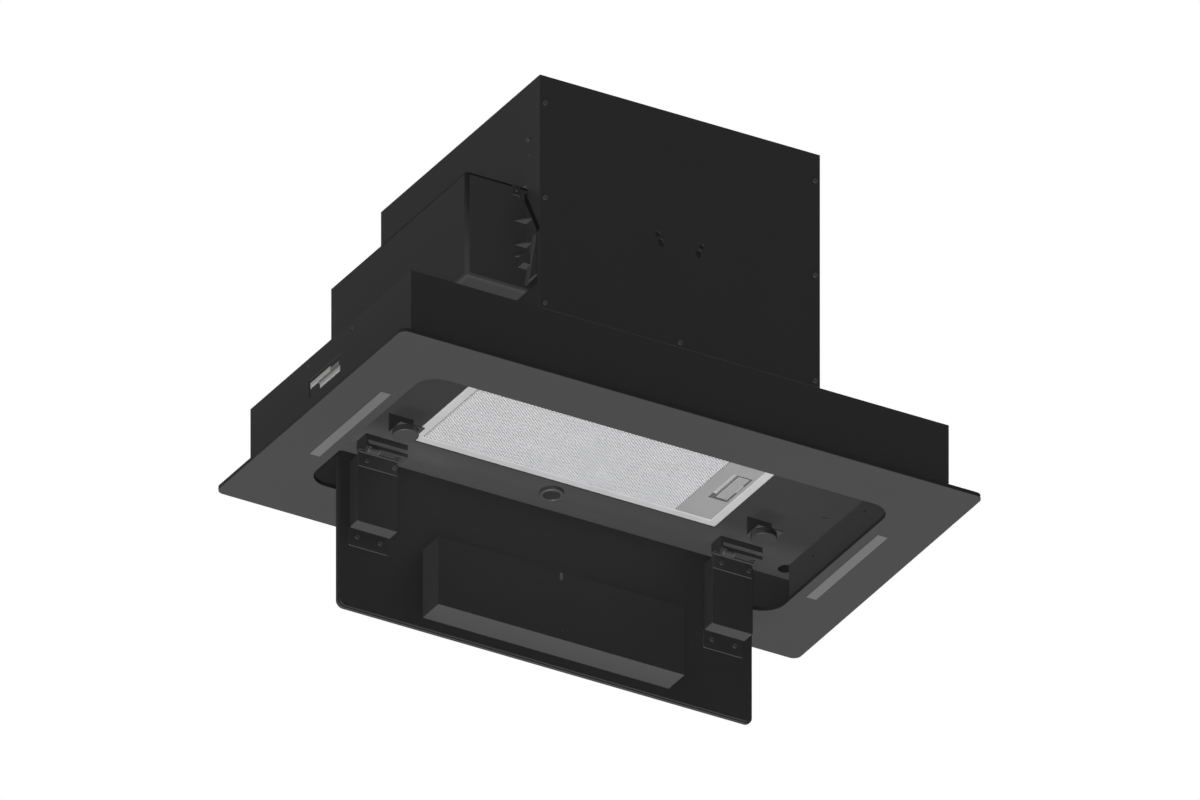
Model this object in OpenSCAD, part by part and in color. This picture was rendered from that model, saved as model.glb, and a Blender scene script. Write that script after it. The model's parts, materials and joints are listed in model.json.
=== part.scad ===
// Range hood insert: a wide cover plate under a low steel box, a tall motor box on top
// with a plastic blower casing, and a flap that hangs open under the grease filter.
// The origin is the centre of the cover plate's top face, which seats under a cabinet.
// X runs left to right, Y front to rear and Z up, in millimetres.

/* [Cover plate] */
// Distance the cover plate reaches past the lower box at each side
plate_side_lip = 26.5; // [12:0.5:60]
// Distance the cover plate reaches past the lower box at front and rear
plate_end_lip = 27.5; // [12:0.5:60]
// Thickness of the cover plate
plate_t = 5; // [3:0.5:8]
// Radius of the plate's outer corners
plate_r = 9; // [3:1:12]
// Radius of the opening's corners
opening_r = 25; // [12:1:28]

/* [Lower box] */
// Outer width of the lower box
box_w = 649; // [640:1:900]
// Outer depth of the lower box
box_d = 336; // [332:1:380]
// Height of the lower box over the cover plate
box_h = 89; // [84:1:120]
// Thickness of the folded steel sheet
sheet_t = 1; // [0.8:0.1:1.5]
// Width of the fold that rests on the cover plate
foot_flange = 12; // [8:1:16]
// Width of the port under the motor box
port_w = 264; // [200:1:266]
// Depth of the port under the motor box
port_d = 270; // [200:1:280]
// Distance between the two fixing holes in each side wall
wall_hole_pitch = 92; // [60:1:140]
// Radius of the fixing holes in the side walls
wall_hole_r = 2.25; // [1.5:0.25:4]
// Distance of the fixing holes below the top of the box
wall_hole_drop = 9; // [5:0.5:12]

/* [Inner pan] */
// Space between the box's outer face and the pan's side wall
channel_w = 33.5; // [32:0.5:45]
// Space between the box's outer face and the pan's front and rear walls
pan_end_gap = 32.2; // [30:0.1:45]
// Height of the pan's ceiling over the cover plate
pan_h = 49; // [47:1:56]
// Distance of the side walls behind the edge of the opening
side_setback = 9; // [5:0.5:14]
// Distance of the front and rear walls behind the edge of the opening
end_setback = 8.3; // [5:0.1:14]
// Length of the folded side walls
pan_wall_l = 217; // [190:1:218]
// Radius of the corner relief holes
relief_r = 8.4; // [4:0.2:9]
// Radius of the holes in the pan's side walls
pan_hole_r = 2.25; // [1.5:0.25:4]

/* [Lamps] */
// Length of a lamp window
lamp_l = 150; // [80:1:180]
// Width of a lamp window
lamp_w = 12; // [8:0.5:14]

/* [Motor box] */
// Width of the motor box
tower_w = 338; // [330:1:380]
// Height of the motor box over the lower box
tower_h = 281; // [260:1:360]

/* [Blower] */
// Distance the blower casing stands out of the motor box at the left
casing_out = 71; // [40:1:90]
// Height of the blower casing
casing_h = 127; // [110:1:150]
// Height of the blower casing over the lower box
casing_gap = 34; // [20:1:40]
// Radius of the casing's edges
casing_r = 5; // [5:0.5:14]
// Wall thickness of the casing
casing_t = 3; // [2:0.5:4]
// Radius of the fan wheel
fan_r = 100; // [80:1:112]
// Number of blades on the fan wheel
blade_n = 30; // [18:1:40]
// Radius of the motor shaft
shaft_r = 4; // [3:0.5:6]

/* [Outlet] */
// Outer radius of the duct collar
collar_r = 75; // [60:1:75]
// Height of the duct collar over the motor box
collar_h = 40; // [30:1:50]

/* [Grease filter] */
// Distance between the side of the grease filter and the middle of a catch
filter_side_gap = 31.5; // [30:0.5:60]
// Depth of the grease filter
filter_d = 159; // [140:1:159]
// Thickness of the grease filter
filter_t = 9; // [8:0.5:14]
// Width of the filter's aluminium rim
rim_w = 11; // [8:0.5:16]
// Width of the handle plate
handle_w = 41; // [36:0.5:50]
// Width of the finger recess in the handle plate
recess_w = 23; // [20:0.5:26]
// Length of the finger recess in the handle plate
recess_l = 54; // [40:1:70]

/* [Button] */
// Outer radius of the button's bezel
bezel_r = 13; // [11:0.5:16]
// Radius of the push button
button_r = 8.95; // [6:0.05:9.5]
// Travel of the push button
button_travel = 2.5; // [1.5:0.5:3]

/* [Flap] */
// Gap between the closed flap and the opening at each side
flap_side_gap = 32; // [24:0.5:40]
// Gap between the closed flap and the opening at front and rear
flap_end_gap = 33; // [24:0.5:34]
// Thickness of the flap's outer panel
flap_t = 4; // [3:0.5:6]
// Radius of the flap's corners
flap_r = 8; // [3:1:16]
// Thickness of the flap's inner sheet
liner_t = 2; // [1:0.5:3]
// Distance of the raised baffle in from the flap's sides
baffle_inset = 101.5; // [90:0.5:140]
// Height of the raised baffle, along the hanging flap
baffle_l = 82.2; // [60:0.1:90]
// Depth of the raised baffle
baffle_h = 33; // [20:1:34]

/* [Hinges and catches] */
// Distance of the hinges in from the flap's sides
hinge_inset = 36; // [32:0.5:45]
// Width of a hinge block
hinge_w = 49; // [46:1:60]
// Height of the hinge axis over the flap's outer face
pivot_rise = 32.5; // [30:0.5:38]
// Distance of the hinge axis in from the closed flap's rear edge
pivot_inset = 8.5; // [6:0.5:10]
// Radius of the hinge pins
pin_r = 2.5; // [2:0.25:3]
// Radius of the round magnets of the catches
disc_r = 14; // [10:0.5:16]
// Distance of the catches in from the flap's sides
catch_inset = 34; // [32:0.5:45]

/* [Hidden] */
$fn = 48;

// Small clearances shared by the pieces
run_gap = 0.05;
touch_gap = 0.3;
loose_gap = 1;
cut = 2;

// Halves and levels worked out from the driving sizes
box_x = box_w / 2;
box_y = box_d / 2;
pan_x = box_x - channel_w;
pan_y = box_y - pan_end_gap;
opening_x = pan_x - side_setback;
opening_y = pan_y - end_setback;
flap_x = opening_x - flap_side_gap;
flap_y = opening_y - flap_end_gap;
catch_x = flap_x - catch_inset;
plate_x = box_x + plate_side_lip;
plate_y = box_y + plate_end_lip;
pan_top = pan_h + sheet_t;
tower_x = tower_w / 2;
tower_setback = 3.5;
tower_y0 = -box_y;
tower_y1 = box_y - tower_setback;
tower_top = box_h + tower_h;

// Lamps: place of the window in the light channel
lamp_y = 2;
lamp_gap = 0.2;
lens_lip = 1;
lens_lip_t = 1.5;
lamp_wall = 1;
housing_w = lamp_w + lens_lip + lamp_gap + 2 * lamp_wall;
lamp_x = pan_x + sheet_t + housing_w / 2;
lamp_h = 12;
led_board_t = 1.6;
led_board_rise = 4;
led_size = 2.4;
led_t = 0.8;
led_n = 15;

// Lower box: place of the side wall's holes and of the connector window
wall_hole_y = 2;
window_y = 12.5;
window_l = 65;
window_z = 51.5;
window_h = 21;
tab_w = 20;
tab_h = 12;

// Inner pan: reach of its ears, its holes and its slits
pan_ear_x = box_x - foot_flange - loose_gap;
pan_hole_pitch = 109;
pan_hole_y = 4.5;
pan_hole_z = 36.5;
relief_out = 1.5;
relief_gap = 0.5;
relief_y = pan_wall_l / 2 + relief_gap + relief_r;
slit_in = 16.5;
slit_y = 5;
slit_l = 8;
slit_w = 1.2;
pan_screw_x = pan_x / 2;

// Motor box: width of its folds, and its screws
fold_w = 14;
screw_in = 6;
screw_low = 7;
screw_high = 33;
screw_mid = 147;
tab_screw_z = box_h + tab_h / 2;
screw_rows = [box_h + screw_low, tower_top - screw_mid, tower_top - screw_high];
hang_pitch = 53.2;
hang_r = 2.75;
hang_z = 129.6;
key_pitch = 45.6;
key_r = 2.9;
key_l = 3.4;
key_drop = 9.6;
earth_y = -144;
earth_z = 214;
pip_drop = 19;
pip_r = 1.5;

// Screws: shank, head and cross recess
shank_r = 1.6;
head_r = 2.8;
head_h = 1.4;
drive_w = 0.7;
drive_l = 3.2;
drive_t = 0.7;
screw_fit = 0.1;
box_screw_l = 4;

// Blower: place and walls of the casing
casing_side_gap = 19;
casing_near_gap = 31;
casing_far_gap = 15.5;
cas_x0 = -tower_x - casing_out;
cas_x1 = tower_x - casing_side_gap;
cas_y0 = tower_y0 + casing_near_gap;
cas_y1 = tower_y1 - casing_far_gap;
casing_y = (cas_y0 + cas_y1) / 2;
cas_z0 = box_h + casing_gap;
cas_z1 = cas_z0 + casing_h;
cas_seam = cas_z0 + casing_h / 2;
fan_inset = 165;
fan_x = cas_x0 + fan_inset;
fan_y = casing_y;
inlet_gap = 16;
inlet_r = fan_r - inlet_gap;
inlet_wall = 2.5;
inlet_drop = 12;
volute_gap = 26;
volute_r = fan_r + volute_gap;
volute_t = 2.5;
tongue_r = 8;
tongue_x = 100;
tongue_y = 84;
flange_w = 20;
flange_t = 3;
flange_margin = 12;
rib_w = 15;
rib_reach = 14;
rib_t = 2;
rib_rises = [39, 53, 82];
lug_w = 10;
lug_h = 12;
cutout_gap = 1.5;
cutout_near = 24.5;
cutout_rise = 63;
foot_r = 7;
foot_inset_x = 24;
foot_inset_y = 15;

// Fan wheel and motor inside the casing
fan_rise = 6;
fan_h = 92;
blade_l = 17;
blade_t = 1.2;
blade_tilt = 32;
ring_t = 2;
fan_disc_rise = 34;
fan_disc_t = 2.5;
hub_r = 12;
hub_h = 16;
motor_r = 56;
motor_h = 68;
motor_plate_r = 66;
motor_plate_t = 3;
motor_nose_r = 14;
motor_nose_h = 6;
bearing_depth = 14;
shaft_h = 38;
shaft_end_gap = 2;
motor_top = cas_z1 - casing_t;
motor_low = motor_top - motor_plate_t - motor_h;
shaft_top = motor_low - motor_nose_h + bearing_depth - shaft_end_gap;

// Outlet: duct, collar and backdraft flaps
duct_wall = 1.5;
duct_w = 156;
collar_x = cas_x1 - duct_w / 2;
collar_y = casing_y;
collar_t = 1.2;
collar_flange_w = 12;
collar_flange_t = 1.5;
damper_rise = 16;
damper_t = 1.2;
damper_pin_r = 2;
damper_gap = 1.2;
knuckle_r = 3.5;
knuckle_l = 20;
knuckle_n = 6;
seat_w = 3;
seat_t = 1.5;
seat_z = damper_rise - damper_t / 2 - touch_gap / 2 - seat_t;
pin_end_gap = 0.3;
duct_screw_n = 4;

// Electronics in the left end of the lower box
control_l = 92;
control_y = 13;
control_z0 = 36;
control_top_gap = 10;
control_h = box_h - sheet_t - control_top_gap - control_z0;
control_t = 1.5;
control_x1 = -pan_x - sheet_t;
control_x0 = -box_x + sheet_t + touch_gap;
board_t = 1.6;
board_back = 14;
plug_l = 42;
plug_h = 7;
plug_upper = [22, 51];
plug_lower = [2, 42];
gland_x = 100;
gland_drop = 40;
gland_r = 8;
gland_nut_r = 11;
gland_nut_t = 5;
gland_l = 14;
gland_bore_r = 4;
gland_in = 8;

// Grease filter
filter_x = catch_x - filter_side_gap;
filter_y = -0.5;
filter_gap = 1;
mesh_t = 5;
mesh_rise = 2;
handle_end = 1.5;
handle_t = 1.5;
handle_x1 = filter_x - rim_w - handle_end;
handle_x0 = handle_x1 - handle_w;
recess_end = 2;
recess_x1 = handle_x1 - recess_end;
recess_x0 = recess_x1 - recess_w;
recess_y = 1;
recess_wall = 1;
recess_t = 7.5;
slider_w = 13;
slider_l = 48;
slider_t = 4;
slider_gap = 2.2;
slider_rise = 1;
grip_n = 4;
grip_w = 1.2;
grip_t = 0.8;
tongue_w = 16;
tongue_t = 2;
tongue_rise = 2;
tongue_tip_gap = 0.3;
lug_reach = 6;
lug_len = 16;
lug_thick = 1.6;
lug_rise = 1.4;
lug_pitch = 106;

// Button in the ceiling
button_y = 100;
bezel_t = 5;
bezel_neck_r = 10.9;
bezel_bore_r = button_r + run_gap;
bezel_neck_h = 3;
button_sink = 1.5;
button_h = 13;
button_collar_r = 10.4;
button_collar_t = 1.8;
switch_w = 28;
switch_h = 16;
button_z0 = pan_h - bezel_t + button_sink;
switch_z0 = pan_h + bezel_neck_h;
button_collar_z = switch_z0 + touch_gap;

// Flap, drawn closed in the opening and then turned down about the hinge axis
flap_z0 = -plate_t;
flap_z1 = flap_z0 + flap_t;
liner_inset = 1.5;
liner_z1 = flap_z1 + liner_t;
pivot_y = flap_y - pivot_inset;
pivot_z = flap_z0 + pivot_rise;
baffle_shift = 1.2;
baffle_wall = 1;
baffle_slot_w = 4;
baffle_slot_l = 8;
baffle_slot_in = 6.2;
baffle_pip_in = 10;
baffle_pip_r = 1.4;
baffle_y1 = baffle_shift;
baffle_y0 = baffle_y1 - baffle_l;

// Hinges
hinge_shift = 1.7;
hinge_x = flap_x - hinge_inset;
hinge_xs = [hinge_shift - hinge_x, hinge_shift + hinge_x];
block_h = 17;
block_l = 82;
block_top_gap = 2;
block_r = 2;
block_z1 = liner_z1 + block_h;
block_y1 = pivot_y - block_top_gap;
block_y0 = block_y1 - block_l;
block_foot_l = 19.5;
block_foot_t = 1.5;
block_foot_w = 48;
block_foot_shift = -2.5;
block_screw_pitch = 27.5;
block_screw_y = 9.5;
block_screw_l = 9;
leaf_screw_l = 8;
foot_screw_l = 3;
leaf_w = 47;
leaf_shift = -1;
leaf_l = 17.5;
leaf_t = 2;
leaf_fold_t = 1.5;
leaf_fold_h = 4.5;
leaf_screw_pitch = 33;
leaf_screw_shift = 2;
leaf_screw_in = 9.5;
barrel_r = 4;
barrel_l = 7;
ear_t = 3;
ear_side_gap = 0.5;
ear_r = 4.6;
ear_foot = 14;
pin_head_r = 4;
pin_head_t = 1.5;
case_x0 = -17.2;
case_x1 = 33.3;
case_step_w = 3.5;
case_in = 4.5;
case_l = 20;
case_step_l = 6.2;
case_step_h = 7;
case_h = 11.4;
case_y0 = pivot_y + case_in;
case_y1 = case_y0 + case_l;
case_z0 = pan_h - case_h;
barrel_x0 = case_x0 + ear_t + ear_side_gap;
barrel_x1 = barrel_x0 + barrel_l;
bracket_screw_in = 7;
bracket_screw_y = case_y1 - bracket_screw_in;
bracket_screw_l = 14;
bracket_screw_x = 12.7;
bracket_screw_pitch = 31.4;

// Catches over the hinge blocks
catch_gap = 1.4;
catch_y = 31.4;
disc_t = 7;
catch_w = 29.6;
catch_shift = 1.2;
catch_t = 1.5;
catch_back = 10.6;
catch_front = 13;
disc_z0 = block_z1 + catch_gap;
disc_z1 = disc_z0 + disc_t;

module box_at(lo, hi) {
  translate(lo) cube(hi - lo);
}

module round_rect(w, d, r) {
  square([w - 2 * r, d], center = true);
  square([w, d - 2 * r], center = true);
  for (sx = [-1, 1], sy = [-1, 1]) {
    translate([sx * (w / 2 - r), sy * (d / 2 - r)]) circle(r);
  }
}

// A box whose edges along all three axes are rounded
module soft_box(lo, hi, r) {
  size = hi - lo;
  mid = (hi + lo) / 2;
  translate(mid) intersection() {
    translate([0, 0, -size[2] / 2]) linear_extrude(size[2]) round_rect(size[0], size[1], r);
    rotate([90, 0, 0]) translate([0, 0, -size[1] / 2]) linear_extrude(size[1])
      round_rect(size[0], size[2], r);
    rotate([90, 0, 90]) translate([0, 0, -size[0] / 2]) linear_extrude(size[0])
      round_rect(size[1], size[2], r);
  }
}

// A screw with its head above the surface at z = 0 and its shank below
module screw(len) {
  difference() {
    cylinder(r = head_r, h = head_h);
    for (turn = [0, 90]) {
      rotate(turn) translate([-drive_l / 2, -drive_w / 2, head_h - drive_t])
        cube([drive_l, drive_w, cut]);
    }
  }
  translate([0, 0, -len]) cylinder(r = shank_r, h = len);
}

module screw_hole(len) {
  translate([0, 0, -len]) cylinder(r = shank_r + screw_fit, h = 2 * len);
}

// Turns what is drawn in the closed flap's place down to the hanging flap's place
module hang() {
  translate([0, pivot_y, pivot_z]) rotate([90, 0, 0]) translate([0, -pivot_y, -pivot_z]) children();
}

module cover_plate() {
  color("#4f4f4f") difference() {
    translate([0, 0, -plate_t]) linear_extrude(plate_t) difference() {
      round_rect(2 * plate_x, 2 * plate_y, plate_r);
      round_rect(2 * opening_x, 2 * opening_y, opening_r);
    }
    for (side = [-1, 1]) {
      translate([side * lamp_x, lamp_y, -plate_t / 2])
        cube([lamp_w + 2 * lamp_gap, lamp_l + 2 * lamp_gap, plate_t + cut], center = true);
    }
  }
}

// The diffuser fills the window and hangs on a lip that rests on the plate
module led_lens(side) {
  color("#757575") translate([side * lamp_x, lamp_y, 0]) {
    translate([-lamp_w / 2, -lamp_l / 2, -plate_t]) cube([lamp_w, lamp_l, plate_t]);
    translate([-lamp_w / 2 - lens_lip / 2, -lamp_l / 2 - lens_lip, 0])
      cube([lamp_w + lens_lip, lamp_l + 2 * lens_lip, lens_lip_t]);
  }
}

module led_lens_left() {
  led_lens(-1);
}

module led_lens_right() {
  led_lens(1);
}

module led_board(side) {
  pitch = lamp_l / led_n;
  color("white") translate([side * lamp_x, lamp_y, lens_lip_t + led_board_rise]) {
    translate([-lamp_w / 2, -lamp_l / 2, 0]) cube([lamp_w, lamp_l, led_board_t]);
    for (i = [0 : led_n - 1]) {
      translate([-led_size / 2, (i + 0.5) * pitch - lamp_l / 2 - led_size / 2, -led_t])
        cube([led_size, led_size, led_t]);
    }
  }
}

module led_board_left() {
  led_board(-1);
}

module led_board_right() {
  led_board(1);
}

// An aluminium channel that stands on the plate round the lens and the lamp board
module led_housing(side) {
  inner = housing_w - 2 * lamp_wall;
  board_z = lens_lip_t + led_board_rise + led_board_t;
  length = lamp_l + 2 * lens_lip + lamp_gap;
  color("silver") translate([side * lamp_x, lamp_y, 0]) difference() {
    translate([-housing_w / 2, -length / 2 - lamp_wall, 0])
      cube([housing_w, length + 2 * lamp_wall, lamp_h]);
    translate([-inner / 2, -length / 2, -cut]) cube([inner, length, board_z + cut]);
  }
}

module led_housing_left() {
  led_housing(-1);
}

module led_housing_right() {
  led_housing(1);
}

module lower_box() {
  color("#262626") {
    difference() {
      box_at([-box_x, -box_y, 0], [box_x, box_y, box_h]);
      box_at([sheet_t - box_x, sheet_t - box_y, sheet_t],
        [box_x - sheet_t, box_y - sheet_t, box_h - sheet_t]);
      box_at([foot_flange - box_x, foot_flange - box_y, -cut],
        [box_x - foot_flange, box_y - foot_flange, cut]);
      box_at([-port_w / 2, -port_d / 2, box_h - cut], [port_w / 2, port_d / 2, box_h + cut]);
      for (side = [-1, 1], row = [-1, 1]) {
        translate([side * box_x, wall_hole_y + row * wall_hole_pitch / 2, box_h - wall_hole_drop])
          rotate([0, 90, 0]) cylinder(r = wall_hole_r, h = 2 * cut, center = true);
      }
      box_at([-box_x - cut, window_y - window_l / 2, window_z - window_h / 2],
        [cut - box_x, window_y + window_l / 2, window_z + window_h / 2]);
    }
    difference() {
      box_at([-tab_w / 2, tower_y0 + sheet_t, box_h], [tab_w / 2, tower_y0 + 2 * sheet_t, box_h + tab_h]);
      translate([0, tower_y0, tab_screw_z]) rotate([90, 0, 0]) screw_hole(2 * cut);
    }
  }
}

module inner_pan() {
  wall_y = pan_wall_l / 2;
  color("#3f3f3f") difference() {
    union() {
      box_at([-pan_x - sheet_t, -pan_y - sheet_t, pan_h], [pan_x + sheet_t, pan_y + sheet_t, pan_top]);
      for (end = [-1, 1]) {
        y0 = end > 0 ? pan_y : -pan_y - sheet_t;
        box_at([-pan_ear_x, y0, 0], [pan_ear_x, y0 + sheet_t, pan_top]);
        ear_lo = end > 0 ? relief_y : -pan_y - sheet_t;
        box_at([-pan_ear_x, ear_lo, pan_h], [pan_ear_x, ear_lo + pan_y + sheet_t - relief_y, pan_top]);
        foot_lo = end > 0 ? pan_y : -pan_y - foot_flange;
        box_at([-pan_ear_x + foot_flange, foot_lo, 0],
          [pan_ear_x - foot_flange, foot_lo + foot_flange, sheet_t]);
      }
      for (side = [-1, 1]) {
        x0 = side > 0 ? pan_x : -pan_x - sheet_t;
        box_at([x0, -wall_y, 0], [x0 + sheet_t, wall_y, pan_top]);
      }
    }
    box_at([-filter_x - filter_gap, filter_y - filter_d / 2 - filter_gap, pan_h - cut],
      [filter_x + filter_gap, filter_y + filter_d / 2 + filter_gap, pan_top + cut]);
    for (side = [-1, 1], end = [-1, 1]) {
      translate([side * (pan_x + relief_out), end * relief_y, pan_h - cut])
        cylinder(r = relief_r, h = sheet_t + 2 * cut);
      translate([side * pan_x, pan_hole_y + end * pan_hole_pitch / 2, pan_hole_z])
        rotate([0, 90, 0]) cylinder(r = pan_hole_r, h = 2 * cut, center = true);
    }
    for (side = [-1, 1]) {
      translate([side * (pan_x - slit_in), slit_y, pan_h]) cube([slit_l, slit_w, 2 * cut], center = true);
    }
    for (x = hinge_xs) {
      for (end = [-1, 1]) {
        translate([x + bracket_screw_x + end * bracket_screw_pitch / 2, bracket_screw_y, pan_h])
          screw_hole(2 * cut);
      }
    }
    translate([0, button_y, pan_h - cut]) cylinder(r = bezel_neck_r + screw_fit, h = sheet_t + 2 * cut);
    for (side = [-1, 1], end = [-1, 1]) {
      translate([side * pan_screw_x, end * (pan_y + foot_flange / 2), 0]) screw_hole(sheet_t + cut);
    }
  }
}

module panel_holes() {
  for (side = [-1, 1], z = screw_rows) {
    translate([side * (tower_x - screw_in), 0, z]) rotate([90, 0, 0]) screw_hole(2 * cut);
  }
}

module upper_front_panel() {
  color("#262626") difference() {
    union() {
      box_at([-tower_x, tower_y0, box_h], [tower_x, tower_y0 + sheet_t, tower_top]);
      box_at([-tower_x + sheet_t + fold_w, tower_y0, box_h],
        [-tab_w, tower_y0 + fold_w, box_h + sheet_t]);
      box_at([tab_w, tower_y0, box_h], [tower_x - sheet_t - fold_w, tower_y0 + fold_w, box_h + sheet_t]);
    }
    translate([0, tower_y0, 0]) panel_holes();
    translate([0, tower_y0, tab_screw_z]) rotate([90, 0, 0]) screw_hole(2 * cut);
    for (side = [-1, 1]) {
      translate([side * hang_pitch / 2, tower_y0, box_h + hang_z]) rotate([90, 0, 0])
        cylinder(r = hang_r, h = 2 * cut, center = true);
      for (up = [-1, 1]) {
        translate([side * key_pitch / 2, tower_y0, box_h + hang_z - key_drop + up * key_l / 2])
          rotate([90, 0, 0]) cylinder(r = key_r, h = 2 * cut, center = true);
      }
      translate([side * key_pitch / 2, tower_y0, box_h + hang_z - key_drop])
        cube([2 * key_r, 2 * cut, key_l], center = true);
    }
  }
}

module upper_rear_panel() {
  color("#262626") difference() {
    union() {
      box_at([-tower_x, tower_y1 - sheet_t, box_h], [tower_x, tower_y1, tower_top]);
      box_at([-tower_x + sheet_t + fold_w, tower_y1 - fold_w, box_h],
        [tower_x - sheet_t - fold_w, tower_y1, box_h + sheet_t]);
    }
    translate([0, tower_y1, 0]) panel_holes();
    translate([gland_x, tower_y1, tower_top - gland_drop]) rotate([90, 0, 0])
      cylinder(r = gland_r + screw_fit, h = 2 * cut, center = true);
  }
}

// A side panel with a fold behind the front panel, one before the rear panel and one below
module side_panel(side) {
  x_out = side * tower_x;
  x_in = side * (tower_x - sheet_t);
  x_fold = side * (tower_x - sheet_t - fold_w);
  y0 = tower_y0 + sheet_t;
  y1 = tower_y1 - sheet_t;
  difference() {
    union() {
      box_at([min(x_out, x_in), y0, box_h], [max(x_out, x_in), y1, tower_top]);
      box_at([min(x_out, x_fold), y0, box_h], [max(x_out, x_fold), y0 + sheet_t, tower_top]);
      box_at([min(x_out, x_fold), y1 - sheet_t, box_h], [max(x_out, x_fold), y1, tower_top]);
      box_at([min(x_out, x_fold), y0, box_h], [max(x_out, x_fold), y1, box_h + sheet_t]);
    }
    translate([0, y0, 0]) panel_holes();
    translate([0, y1, 0]) panel_holes();
    box_at([-tower_x + sheet_t, y0 - cut, tower_top - sheet_t],
      [tower_x - sheet_t, y1 + cut, tower_top + cut]);
  }
}

module upper_left_panel() {
  y_near = cas_y0 - cutout_near;
  y_low = cas_y0 - cutout_gap;
  y_far = cas_y1 + cutout_gap;
  z_low = cas_z0 - cutout_gap;
  z_high = cas_z1 + cutout_gap;
  color("#2f2f2f") difference() {
    side_panel(-1);
    translate([-tower_x - cut, 0, 0]) rotate([90, 0, 90]) linear_extrude(2 * cut)
      polygon([[y_near, z_low], [y_far, z_low], [y_far, z_high], [y_low, z_high],
        [y_near, cas_z0 + cutout_rise]]);
    translate([-tower_x, earth_y, box_h + earth_z]) rotate([0, -90, 0]) screw_hole(2 * cut);
    translate([-tower_x, earth_y, box_h + earth_z - pip_drop]) rotate([0, 90, 0])
      cylinder(r = pip_r, h = 2 * cut, center = true);
  }
}

module upper_right_panel() {
  color("#2f2f2f") side_panel(1);
}

module upper_top_panel() {
  z0 = tower_top - sheet_t;
  color("#262626") difference() {
    box_at([sheet_t - tower_x, tower_y0 + sheet_t, z0], [tower_x - sheet_t, tower_y1 - sheet_t, tower_top]);
    translate([collar_x, collar_y, z0 - cut]) cylinder(r = collar_r - collar_t, h = sheet_t + 2 * cut);
    for (i = [0 : duct_screw_n - 1]) {
      rotate_about(collar_x, collar_y, 45 + i * 360 / duct_screw_n)
        translate([collar_r + collar_flange_w / 2, 0, tower_top]) screw_hole(2 * cut);
    }
  }
}

module rotate_about(x, y, angle) {
  translate([x, y, 0]) rotate(angle) children();
}

// Outline of the air path round the fan wheel, open to the right where the duct starts
module volute(r, l) {
  circle(r);
  translate([0, -r]) square([l, 2 * r]);
}

module casing_shell() {
  wall = [casing_t, casing_t, casing_t];
  difference() {
    soft_box([cas_x0, cas_y0, cas_z0], [cas_x1, cas_y1, cas_z1], casing_r);
    soft_box([cas_x0, cas_y0, cas_z0] + wall, [cas_x1, cas_y1, cas_z1] - wall, casing_r - casing_t);
  }
}

module blower_base() {
  x1 = -tower_x + sheet_t + touch_gap + flange_t;
  color("#2b2b2b") difference() {
    union() {
      intersection() {
        casing_shell();
        box_at([cas_x0 - cut, cas_y0 - cut, cas_z0 - cut], [cas_x1 + cut, cas_y1 + cut, cas_seam]);
      }
      translate([fan_x, fan_y, cas_z0 - inlet_drop]) cylinder(r = inlet_r + inlet_wall, h = inlet_drop + cut);
      side_flange(cas_z0 + flange_margin, cas_seam);
      for (rise = [rib_rises[0], rib_rises[1]]) {
        side_rib(cas_z0 + rise);
      }
      box_at([x1 - flange_t - lug_w, cas_y0 - lug_h, cas_z0 + rib_rises[0] - lug_h],
        [x1 - flange_t, cas_y0 + casing_t, cas_z0 + rib_rises[0]]);
    }
    translate([fan_x, fan_y, cas_z0 - inlet_drop - cut])
      cylinder(r = inlet_r, h = inlet_drop + casing_t + 2 * cut);
  }
}

// The scroll stands between the casing's two shells and leads the air to the duct
module blower_scroll() {
  l = cas_x1 - casing_r - fan_x;
  color("#333333") translate([fan_x, fan_y, cas_z0 + casing_t]) linear_extrude(casing_h - 2 * casing_t) {
    difference() {
      volute(volute_r, l);
      volute(volute_r - volute_t, l + cut);
    }
    translate([tongue_x, -tongue_y]) circle(tongue_r);
    translate([tongue_x - tongue_r, -volute_r + volute_t / 2]) square([2 * tongue_r, volute_r - tongue_y]);
  }
}

// The flange behind the motor box's side panel, and the ribs that stiffen it
module side_flange(z0, z1) {
  x0 = -tower_x + sheet_t + touch_gap;
  box_at([x0, cas_y0 - flange_w, z0], [x0 + flange_t, cas_y0 + casing_t, z1]);
}

module side_rib(z) {
  x0 = -tower_x + sheet_t + touch_gap;
  translate([x0, cas_y0, z]) linear_extrude(rib_t)
    polygon([[-rib_w, casing_t], [flange_t, casing_t], [flange_t, -rib_reach], [0, -rib_reach], [-rib_w, 0]]);
}

module blower_lid() {
  color("#2b2b2b") difference() {
    union() {
      intersection() {
        casing_shell();
        box_at([cas_x0 - cut, cas_y0 - cut, cas_seam], [cas_x1 + cut, cas_y1 + cut, cas_z1 + cut]);
      }
      side_flange(cas_seam, cas_z1 - flange_margin);
      side_rib(cas_z0 + rib_rises[2]);
    }
    box_at([collar_x - duct_w / 2 + duct_wall, collar_y - duct_w / 2 + duct_wall, cas_z1 - casing_t - cut],
      [collar_x + duct_w / 2 - casing_r, collar_y + duct_w / 2 - duct_wall, cas_z1 + cut]);
  }
}

module motor_mounts() {
  color("#1c1c1c") for (x = [-tower_x + foot_inset_x, tower_x - foot_inset_x],
      y = [cas_y0 + foot_inset_y, cas_y1 - foot_inset_y]) {
    translate([x, y, box_h]) cylinder(r = foot_r, h = casing_gap);
  }
}

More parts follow.
